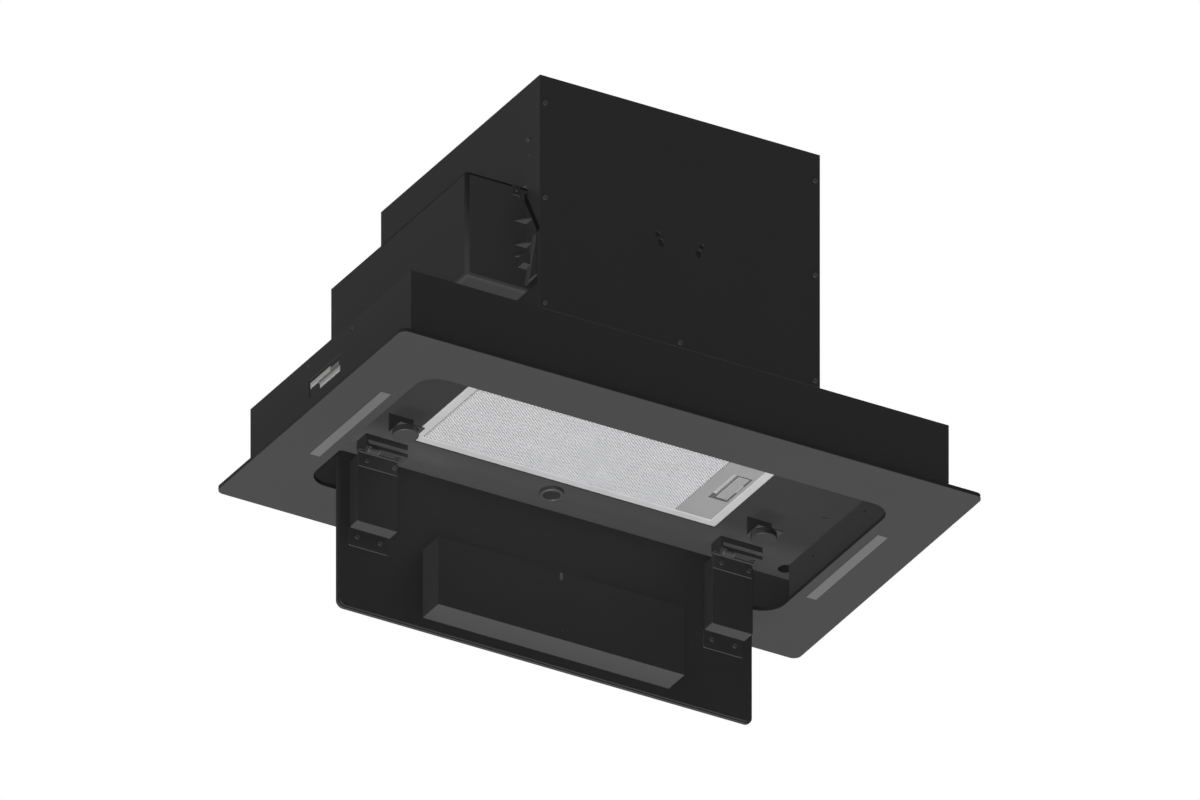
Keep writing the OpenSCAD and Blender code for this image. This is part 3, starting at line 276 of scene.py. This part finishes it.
finishes = {
    "plate_coat": powder_coat("plate coat", (0.0505, 0.0505, 0.0508), 0.5, 0.4 * mm, 0.02 * mm),
    "lens": frosted("lamp diffuser", (0.124, 0.124, 0.124)),
    "lamp_board": solder_mask("lamp board", (0.75, 0.75, 0.73)),
    "channel": rolled_metal("lamp channel", (0.55, 0.55, 0.56), 0.4, "y"),
    "box_steel": powder_coat("box coat", (0.0495, 0.0495, 0.0498)),
    "pan_coat": powder_coat("pan coat", (0.0495, 0.0495, 0.0498)),
    "casing_plastic": moulded("casing plastic", (0.0530, 0.0530, 0.0532)),
    "fan_plastic": moulded("fan plastic", (0.040, 0.040, 0.040), 0.45),
    "motor_steel": powder_coat("motor coat", (0.25, 0.25, 0.26)),
    "bright_steel": rolled_metal("black oxide steel", (0.10, 0.10, 0.105), 0.45, metallic=0.3),
    "foot_rubber": rubber("foot rubber", (0.018, 0.018, 0.018)),
    "zinc_sheet": spangled_zinc("zinc sheet", (0.45, 0.46, 0.47)),
    "box_plastic": moulded("black plastic", (0.030, 0.030, 0.030)),
    "circuit_board": solder_mask("circuit board", (0.20, 0.21, 0.20)),
    "white_plastic": moulded("white plastic", (0.62, 0.62, 0.61), 0.45, 0.01 * mm),
    "filter_aluminium": rolled_metal("filter rim", (0.75, 0.75, 0.76), 0.42, metallic=0.5),
    "filter_net": rolled_metal("filter net", (0.72, 0.72, 0.73), 0.45, metallic=0.2),
    "handle_plastic": moulded("handle plastic", (0.265, 0.265, 0.268), 0.45, 0.015 * mm),
    "latch_plastic": moulded("latch plastic", (0.30, 0.30, 0.303), 0.42, 0.015 * mm),
    "bezel_plastic": moulded("bezel plastic", (0.065, 0.065, 0.065), 0.35, 0.008 * mm, 0.5),
    "button_plastic": moulded("button plastic", (0.029, 0.029, 0.029), 0.38, 0.01 * mm),
    "bracket_steel": powder_coat("bracket coat", (0.052, 0.052, 0.053), 0.42),
    "magnet_cap": moulded("catch plastic", (0.040, 0.040, 0.041), 0.36, 0.01 * mm, 0.4),
    "hinge_plastic": moulded("hinge plastic", (0.045, 0.045, 0.046), 0.45),
    "flap_coat": powder_coat("flap coat", (0.0480, 0.0480, 0.0483)),
    "liner_coat": powder_coat("liner coat", (0.0430, 0.0430, 0.0433)),
    "dark_screw": rolled_metal("black zinc", (0.085, 0.085, 0.09), 0.38, "z", metallic=0.4),
}
# painted shade: a darker copy of the plate coat for its edge faces
plate_edge_painted_shade = powder_coat("plate edge painted shade", (0.030, 0.030, 0.030), 0.4)
# the ceiling's coat, with painted light and shade across it
pan_ceiling = ceiling_painted_light("pan ceiling", (0.0495, 0.0495, 0.0498))
# painted light: a lighter copy of the pan coat for the pan's walls
pan_sides_painted_light = powder_coat("pan sides", (0.0700, 0.0700, 0.0703))
# painted light: a lighter copy of the casing plastic for its front faces
casing_front_painted_light = moulded("casing front", (0.0680, 0.0680, 0.0682))
# painted shadow: a near-black coat for the shade in the casing's gaps
casing_gap_shadow = rubber("casing gap shadow", (0.004, 0.004, 0.004))
# painted light: a lighter copy of the casing plastic for the side flange
casing_flange_painted_light = moulded("casing flange painted light", (0.0900, 0.0900, 0.0902))
# painted light: a lighter copy of the flap's paint for faces that look down or left
flap_painted_light = powder_coat("flap underside painted light", (0.0580, 0.0580, 0.0583))
# painted shade: a grey for the connectors' turned-away faces and the web between them
plug_painted_shade = moulded("plug painted shade", (0.30, 0.30, 0.298), 0.45, 0.01 * mm)
# painted light: a lighter copy of the handle plastic for the recess floor
recess_floor_painted_light = moulded("recess floor painted light", (0.38, 0.38, 0.384), 0.45, 0.015 * mm)
# painted shade: a dark aluminium for the slab behind the net, standing for the shade deep in the filter
filter_layers_painted_shade = rolled_metal("inner filter layers painted shade", (0.16, 0.16, 0.163), 0.5, "y", metallic=0.2)


# Modelling helpers
def alone(piece):
    """Makes piece the only selected object and the active one."""
    bpy.ops.object.select_all(action="DESELECT")
    piece.select_set(True)
    bpy.context.view_layer.objects.active = piece


def edit(piece):
    alone(piece)
    bpy.ops.object.mode_set(mode="EDIT")


def leave_edit():
    bpy.ops.object.mode_set(mode="OBJECT")


def pick(piece, mode, wanted):
    """Selects in edit mode the faces or edges for which wanted(element) is true."""
    bpy.ops.mesh.select_mode(type=mode)
    bpy.ops.mesh.select_all(action="DESELECT")
    bpy.ops.object.mode_set(mode="OBJECT")
    group = {"FACE": piece.data.polygons, "EDGE": piece.data.edges}[mode]
    for element in group:
        element.select = bool(wanted(element))
    bpy.ops.object.mode_set(mode="EDIT")


def apply_all(piece):
    """Applies every modifier in order."""
    alone(piece)
    for modifier in list(piece.modifiers):
        bpy.ops.object.modifier_apply(modifier=modifier.name)


def soften(piece, width, segments=2):
    """Breaks the sharp edges of a piece and shades it smooth between them."""
    bevel = piece.modifiers.new("edge", "BEVEL")
    bevel.width = width
    bevel.segments = segments
    bevel.limit_method = "ANGLE"
    bevel.angle_limit = 40 * deg
    bevel.use_clamp_overlap = False
    bevel.loop_slide = False
    apply_all(piece)
    smooth(piece)


def smooth(piece, angle=35):
    """Shades a piece smooth between its sharp edges, with its large flat faces kept flat."""
    alone(piece)
    bpy.ops.object.shade_smooth_by_angle(angle=angle * deg)
    weighted = piece.modifiers.new("normals", "WEIGHTED_NORMAL")
    weighted.keep_sharp = True
    apply_all(piece)


def round_off(piece, width, segments, wanted):
    """Rounds the edges of a piece for which wanted(first corner, second corner) is true."""
    places = [corner.co.copy() for corner in piece.data.vertices]
    edit(piece)
    pick(piece, "EDGE", lambda edge: wanted(places[edge.vertices[0]], places[edge.vertices[1]]))
    bpy.ops.mesh.bevel(
        offset=width, segments=segments, affect="EDGES", clamp_overlap=False, loop_slide=False)
    leave_edit()


def box_piece(name, low, high):
    """A box between two corners."""
    low, high = Vector(low), Vector(high)
    bpy.ops.mesh.primitive_cube_add(size=1, location=(low + high) / 2)
    piece = bpy.context.active_object
    piece.name = name
    piece.scale = high - low
    settle(piece)
    return piece


def join(pieces, name):
    """Makes one object of several."""
    bpy.ops.object.select_all(action="DESELECT")
    for piece in pieces:
        piece.select_set(True)
    bpy.context.view_layer.objects.active = pieces[0]
    bpy.ops.object.join()
    pieces[0].name = name
    return pieces[0]


def repeat(piece, step, count):
    """Copies a piece count times in steps and keeps the copies as one mesh."""
    copies = piece.modifiers.new("copies", "ARRAY")
    copies.use_relative_offset = False
    copies.use_constant_offset = True
    copies.constant_offset_displace = step
    copies.count = count
    apply_all(piece)


def settle(piece):
    """Puts a finished piece's place into its mesh."""
    alone(piece)
    bpy.ops.object.transform_apply(location=True, rotation=True, scale=True)


def hand_over(piece, node, material=None, stands_for=()):
    """Joins a piece to its node's body, slot and finish."""
    piece.data.materials.clear()
    piece.data.materials.append(material or finishes[slot_of[node]])
    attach(piece, body_of[node])
    if stands_for:
        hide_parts(*stands_for)


def copy_of(node, name, join_flats=True):
    """A copy of a CAD piece as a clean mesh: doubles merged and, if asked, flat faces joined."""
    doubles_within, flat_within = 0.002 * mm, 0.5 * deg
    piece = bpy.data.objects.new(name, frame["nodes"][node].data.copy())
    bpy.context.scene.collection.objects.link(piece)
    edit(piece)
    bpy.ops.mesh.customdata_custom_splitnormals_clear()
    bpy.ops.mesh.select_all(action="SELECT")
    bpy.ops.mesh.remove_doubles(threshold=doubles_within)
    if join_flats:
        bpy.ops.mesh.dissolve_limited(angle_limit=flat_within)
    leave_edit()
    return piece


def dressed(node, width, segments=2, join_flats=True):
    """A copy of a CAD piece with broken edges, which is shown in its place."""
    piece = copy_of(node, node + "_finished", join_flats)
    soften(piece, width, segments)
    hand_over(piece, node, stands_for=(node,))
    return piece


def coat(piece, material, wanted):
    """Gives material to the faces of a piece for which wanted(normal, middle) is true."""
    piece.data.materials.append(material)
    place = len(piece.data.materials) - 1
    for face in piece.data.polygons:
        if wanted(face.normal, face.center):
            face.material_index = place


def centre_of(node):
    low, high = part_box(node)
    return (low + high) / 2


def at_height(z):
    """True for edges that lie in the level plane at z."""
    slack = 0.05 * mm
    return lambda a, b: abs(a.z - z) < slack and abs(b.z - z) < slack


def sink_face(piece, bottom, rings):
    """Insets the lowest face of a piece by rings, each of a width and a height, from the outside in."""
    edit(piece)
    pick(piece, "FACE", lambda side: side.normal.z < -squarely and abs(side.center.z - bottom) < close)
    for width, height in rings:
        bpy.ops.mesh.inset(thickness=width, depth=height)
    leave_edit()


# A face looks along an axis squarely or mostly where its normal has this much of the axis
squarely, mostly = 0.9, 0.6
close = 0.1 * mm

for name, piece in frame["nodes"].items():
    piece.data.materials.clear()
    piece.data.materials.append(finishes[slot_of[name]])


# Sheet metal and mouldings with broken edges
def cover_plate():
    """The cover plate, with its edge faces painted darker as shade all round its two outlines."""
    piece = dressed("cover_plate", 0.5 * mm, 3)
    coat(piece, plate_edge_painted_shade, lambda normal, middle: abs(normal.z) < 0.2)


def pan():
    """The inner pan, whose ceiling has painted light and shade in its coat and whose walls are painted
    lighter as painted light.
    """
    piece = dressed("inner_pan", 0.3 * mm, join_flats=False)
    # painted light and shade: the ceiling faces get the graded coat
    coat(piece, pan_ceiling, lambda normal, middle: normal.z < -squarely)
    # painted light: the walls get the lighter copy of the coat
    coat(piece, pan_sides_painted_light, lambda normal, middle: abs(normal.z) < 0.3)


def casing():
    """The blower casing's two shells, with their front faces painted lighter as painted light and a
    near-black strip of painted shadow round the rounded top.
    """
    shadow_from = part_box("blower_lid")[1].z - 5 * mm
    steepest, flattest = 0.2, 0.98
    for node in ("blower_base", "blower_lid"):
        piece = copy_of(node, node + "_finished")
        smooth(piece, 50)
        hand_over(piece, node, stands_for=(node,))
        # painted light: the front faces get the lighter copy
        coat(piece, casing_front_painted_light, lambda normal, middle: normal.y < -0.95)
        # painted shadow: the upper rounded faces are coated near black where the gap above them lies in
        # shade
        coat(piece, casing_gap_shadow,
             lambda normal, middle: steepest < normal.z < flattest and middle.z > shadow_from)


def casing_edge():
    """What shows where the casing passes the tower's side: a near-black strip of painted shadow in the
    gap, the flange painted lighter as painted light, a clip and its screw.
    """
    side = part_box("upper_left_panel")[0].x
    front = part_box("upper_front_panel")[0].y + 31 * mm
    strip_thickness, strip_outside = 0.6 * mm, 0.25 * mm
    shadow_top, shadow_foot = 239 * mm, 183.6 * mm
    flange_top, flange_foot = 182 * mm, 130 * mm
    # a near-black sheet of painted shadow in the gap, then the flange in a lighter colour of painted
    # light
    for name, start, end, width, finish in (
            ("casing_side_gap_shadow", Vector((front + 1 * mm, shadow_top)),
             Vector((front - 29 * mm, shadow_foot)), 5.5 * mm, casing_gap_shadow),
            ("casing_side_flange", Vector((front - 20 * mm, flange_top)),
             Vector((front - 3 * mm, flange_foot)), 8 * mm, casing_flange_painted_light)):
        run = end - start
        half = Vector((strip_thickness / 2, run.length / 2, width / 2))
        piece = box_piece(name, -half, half)
        soften(piece, 0.2 * mm)
        piece.rotation_euler.x = math.atan2(run.y, run.x)
        piece.location = (side - strip_outside, (start.x + end.x) / 2, (start.y + end.y) / 2)
        settle(piece)
        hand_over(piece, "blower_base", finish)
    clip_outside, clip_height = 11 * mm, 241.6 * mm
    clip_low, clip_high = Vector((-4.5, -1.6, -6)) * mm, Vector((4.5, -0.05, 6)) * mm
    spot = Vector((side - clip_outside, front, clip_height))
    clip = box_piece("casing_clip", spot + clip_low, spot + clip_high)
    soften(clip, 0.4 * mm)
    hand_over(clip, "blower_lid")
    head_radius, head_depth, head_forward = 1.7 * mm, 1.0 * mm, 2.0 * mm
    bpy.ops.mesh.primitive_cylinder_add(
        vertices=24, radius=head_radius, depth=head_depth,
        location=spot - Vector((0, head_forward, 0)), rotation=(90 * deg, 0, 0))
    screw = bpy.context.active_object
    screw.name = "casing_clip_screw"
    settle(screw)
    soften(screw, 0.35 * mm, 3)
    hand_over(screw, "box_screws")


def plugs():
    """The two white connectors in their side window, their faces that do not face left painted grey as
    shade, with a blanking plate and a grey web and ledge of painted shade behind.
    """
    piece = dressed("connectors", 0.25 * mm)
    # painted shade: the connector faces that do not face left are grey
    coat(piece, plug_painted_shade, lambda normal, middle: normal.x > -mostly)
    low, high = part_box("connectors")
    edge, skin = 0.1 * mm, 0.4 * mm
    face, middle = low.x - 0.2 * mm, (low.z + high.z) / 2
    plate = box_piece("socket_plate", (low.x + 0.3 * mm, low.y - 1 * mm, low.z - 1 * mm),
                      (low.x + 0.8 * mm, high.y + 1.5 * mm, high.z + 4 * mm))
    soften(plate, edge)
    hand_over(plate, "lower_box")
    for name, far, bottom, top in (("socket_web", 25 * mm, -2.4 * mm, 2.2 * mm),
                                   ("socket_ledge", 1 * mm, 0, 5 * mm)):
        grey = box_piece(name, (face, low.y + 2 * mm, middle + bottom), (face + skin, far, middle + top))
        soften(grey, edge)
        hand_over(grey, "connectors", plug_painted_shade)
    length, height, inset = 42 * mm, 7 * mm, 1.6 * mm
    for name, near, far, bottom in (
            ("socket_key_upper", high.y - length, high.y, high.z - height),
            ("socket_key_lower", low.y, low.y + length, low.z)):
        key = box_piece(name, (face, near + inset, bottom + inset),
                        (face + skin, far - inset, bottom + height - inset))
        soften(key, edge)
        hand_over(key, "connectors")


def flap_baffle():
    """The raised box on the flap, with its underside and left side painted lighter as painted light."""
    piece = dressed("flap_baffle", 0.25 * mm)
    coat(piece, flap_painted_light, lambda normal, middle: normal.z < -mostly or normal.x < -mostly)


def hinge_block(node):
    """A hinge's moving block, with the underside of its foot painted lighter as painted light."""
    piece = dressed(node, 0.6 * mm, 3)
    coat(piece, flap_painted_light, lambda normal, middle: normal.z < -mostly)


def hinge_bracket(node):
    """A hinge's case under the pan, cut back a little where the pin's ear comes furthest forward."""
    piece = copy_of(node, node + "_finished")
    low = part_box(node)[0]
    tip = Vector((low.x, low.y))
    round_off(piece, 4.0 * mm, 4, lambda a, b: (a.xy - tip).length < close
              and (b.xy - tip).length < close)
    soften(piece, 0.25 * mm)
    hand_over(piece, node, stands_for=(node,))


def filter_frame():
    """The filter's rim: rolled edges and a mitre at each corner. Its lugs are dark."""
    piece = copy_of("filter_frame", "filter_frame_finished")
    low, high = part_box("filter_frame")
    lowest, straight = at_height(low.z), 0.01 * mm
    round_off(piece, 1.5 * mm, 5, lambda a, b: lowest(a, b)
              and min(abs(a.x - b.x), abs(a.y - b.y)) < straight)
    rim = 11 * mm
    half_blade = Vector((rim, 0.2 * mm, 0.6 * mm))
    blades = []
    for x, y, turn in ((low.x, low.y, 1), (high.x, low.y, -1), (high.x, high.y, 1), (low.x, high.y, -1)):
        inward = Vector((math.copysign(rim / 2, -x), math.copysign(rim / 2, -y), 0))
        blade = box_piece("mitre", -half_blade, half_blade)
        blade.rotation_euler.z = turn * 45 * deg
        blade.location = Vector((x, y, low.z)) + inward
        settle(blade)
        blades.append(blade)
    blades = join(blades, "mitres")
    cut = piece.modifiers.new("mitres", "BOOLEAN")
    cut.operation = "DIFFERENCE"
    cut.solver = "EXACT"
    cut.object = blades
    apply_all(piece)
    bpy.data.objects.remove(blades)
    smooth(piece)
    hand_over(piece, "filter_frame", stands_for=("filter_frame",))
    lug_from = -high.x - 0.2 * mm
    coat(piece, finishes["box_steel"], lambda normal, middle: middle.x < lug_from)


def handle():
    """The filter's handle plate. The floor of its finger recess is painted lighter as painted light
    against the shade that falls there.
    """
    piece = dressed("filter_handle", 0.6 * mm, 3)
    sunk_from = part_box("filter_handle")[0].z + 1 * mm
    coat(piece, recess_floor_painted_light, lambda normal, middle: normal.z < -squarely and middle.z > sunk_from)


def filter_net():
    """The front layer of the filter: expanded metal, one diamond copied along both axes."""
    low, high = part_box("filter_mesh")
    across, along, strand = 4.4 * mm, 3.6 * mm, 0.45 * mm
    gap_to_handle_face = 0.05 * mm
    depth = low.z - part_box("filter_handle")[0].z - gap_to_handle_face
    columns = round((high.x - low.x) / across - 0.5)
    rows = round((high.y - low.y) / along - 0.5)
    across = (high.x - low.x) / (columns + 0.5)
    along = (high.y - low.y) / (rows + 0.5)
    bpy.ops.mesh.primitive_circle_add(vertices=4, radius=0.5, fill_type="NGON")
    net = bpy.context.active_object
    net.name = "filter_net"
    net.scale = (across, along, 1)
    net.location = (low.x + across / 2, low.y + along / 2, low.z - depth)
    settle(net)
    edit(net)
    bpy.ops.mesh.select_all(action="SELECT")
    bpy.ops.mesh.flip_normals()
    bpy.ops.mesh.inset(thickness=strand, depth=0)
    bpy.ops.mesh.extrude_region_move(TRANSFORM_OT_translate={"value": (0, 0, depth * 0.9)})
    bpy.ops.mesh.delete(type="ONLY_FACE")
    leave_edit()
    repeat(net, (across / 2, along / 2, 0), 2)
    repeat(net, (across, 0, 0), columns)
    repeat(net, (0, along, 0), rows)
    hand_over(net, "filter_mesh")
    # the slab behind the net gets the dark painted-shade aluminium
    layers = frame["nodes"]["filter_mesh"]
    layers.data.materials.clear()
    layers.data.materials.append(filter_layers_painted_shade)


def button():
    """The button's domed ring and its sunk face with a shallow dish."""
    ring = copy_of("button_bezel", "button_bezel_finished")
    middle = centre_of("button_bezel").xy
    lowest = at_height(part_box("button_bezel")[0].z)
    round_off(ring, 1.2 * mm, 6, lambda a, b: lowest(a, b)
              and abs((a.xy - middle).length - (b.xy - middle).length) < close)
    smooth(ring, 50)
    hand_over(ring, "button_bezel", stands_for=("button_bezel",))
    face = copy_of("push_button", "push_button_finished")
    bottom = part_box("push_button")[0].z
    sink_face(face, bottom, ((1.2 * mm, 0), (1.0 * mm, -0.5 * mm), (2.0 * mm, -0.25 * mm)))
    round_off(face, 0.3 * mm, 2, at_height(bottom))
    smooth(face)
    hand_over(face, "push_button", stands_for=("push_button",))


def catch_disc(node):
    """A catch's round magnet cap with a rounded rim and a faint ring in its face. The left cap is painted
    lighter and the right one darker, as painted light matching the ceiling round each.
    """
    piece = copy_of(node, node + "_finished")
    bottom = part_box(node)[0].z
    sink_face(piece, bottom, ((2.0 * mm, 0), (0.4 * mm, -0.2 * mm)))
    middle = centre_of(node)
    rim = max((corner.co - middle).xy.length for corner in piece.data.vertices)
    lowest = at_height(bottom)
    round_off(piece, 0.8 * mm, 4, lambda a, b: lowest(a, b)
              and min((a - middle).xy.length, (b - middle).xy.length) > rim - close)
    smooth(piece)
    # painted light and shade: the left cap lighter, the right one darker
    shade = 0.050 if middle.x < 0 else 0.031
    cap = moulded(node + " cap", (shade, shade, shade), 0.36, 0.01 * mm, 0.4)
    hand_over(piece, node, cap, stands_for=(node,))


cover_plate()
pan()
for node in ("lower_box", "upper_front_panel", "upper_left_panel",
             "upper_right_panel", "upper_rear_panel", "upper_top_panel"):
    dressed(node, 0.3 * mm)
casing()
casing_edge()
for node in ("led_lens_left", "led_lens_right", "flap_liner", "outlet_duct", "outlet_collar",
             "catch_bracket_left", "catch_bracket_right", "hinge_leaf_left", "hinge_leaf_right",
             "control_box"):
    dressed(node, 0.25 * mm)
plugs()
flap_baffle()
for node in ("hinge_block_left", "hinge_block_right"):
    hinge_block(node)
for node in ("hinge_bracket_left", "hinge_bracket_right"):
    hinge_bracket(node)
handle()
dressed("flap_panel", 0.35 * mm)
dressed("filter_latch", 0.2 * mm)
filter_frame()
filter_net()
button()
for node in ("catch_disc_left", "catch_disc_right"):
    catch_disc(node)

# Studio: the white world's strength on surfaces and in reflections, and each lamp's direction,
# strength, spread in degrees and whether it casts shadows
ambient = 0.02
reflected = 0.3
lamps = [
    ("low lamp", (-0.286, -0.123, -0.994), 0.20, 20, True),
    ("low fill", (-0.286, -0.123, -0.994), 0.93, 20, False),
    ("front lamp", (-0.433, -0.75, -0.5), 0.10, 8, True),
    ("back lamp", (0.62, 0.55, 0.56), 0.8, 30, True),
]


def studio():
    """A pale floor far below, a white background and soft plain light."""
    floor_size, floor_height, floor_glow = 16, -1.9, 0.88
    bpy.ops.mesh.primitive_plane_add(size=floor_size, location=(0, 0, floor_height))
    floor = bpy.context.active_object
    floor.name = "floor"
    floor.visible_shadow = False
    white = Finish("floor paint", (0.55, 0.55, 0.55), 0.9)
    camera_ray = white.node("ShaderNodeLightPath", output="Is Camera Ray")
    glow = white.node("ShaderNodeEmission", inputs={"Color": (1, 1, 1, 1), "Strength": 1.0})
    mixed = white.node("ShaderNodeMixShader", inputs={
        0: camera_ray * floor_glow, 1: Wire(white, white.shader.outputs[0]), 2: glow})
    white.tree.links.new(mixed.socket, white.tree.nodes["Material Output"].inputs["Surface"])
    floor.data.materials.append(white.material)

    world = bpy.data.worlds.new("studio")
    bpy.context.scene.world = world
    world.use_nodes = True
    tree = world.node_tree
    backdrop = tree.nodes["Background"]
    rays = tree.nodes.new("ShaderNodeLightPath")
    backdrop.inputs["Color"].default_value = (1, 1, 1, 1)
    level = None
    for ray, strength in (("Is Camera Ray", 1.0), ("Is Glossy Ray", reflected)):
        step = tree.nodes.new("ShaderNodeMath")
        step.operation = "MULTIPLY_ADD"
        tree.links.new(rays.outputs[ray], step.inputs[0])
        step.inputs[1].default_value = strength - ambient
        step.inputs[2].default_value = ambient
        if level:
            tree.links.new(level, step.inputs[2])
        level = step.outputs[0]
    tree.links.new(level, backdrop.inputs["Strength"])

    for name, towards, strength, spread, casts in lamps:
        data = bpy.data.lights.new(name, "SUN")
        data.use_shadow = casts
        data.energy = strength * math.pi
        data.angle = spread * deg
        lamp = bpy.data.objects.new(name, data)
        lamp.rotation_mode = "QUATERNION"
        lamp.rotation_quaternion = Vector(towards).to_track_quat("Z", "Y")
        bpy.context.scene.collection.objects.link(lamp)


studio()
bpy.context.scene.view_settings.view_transform = "Standard"
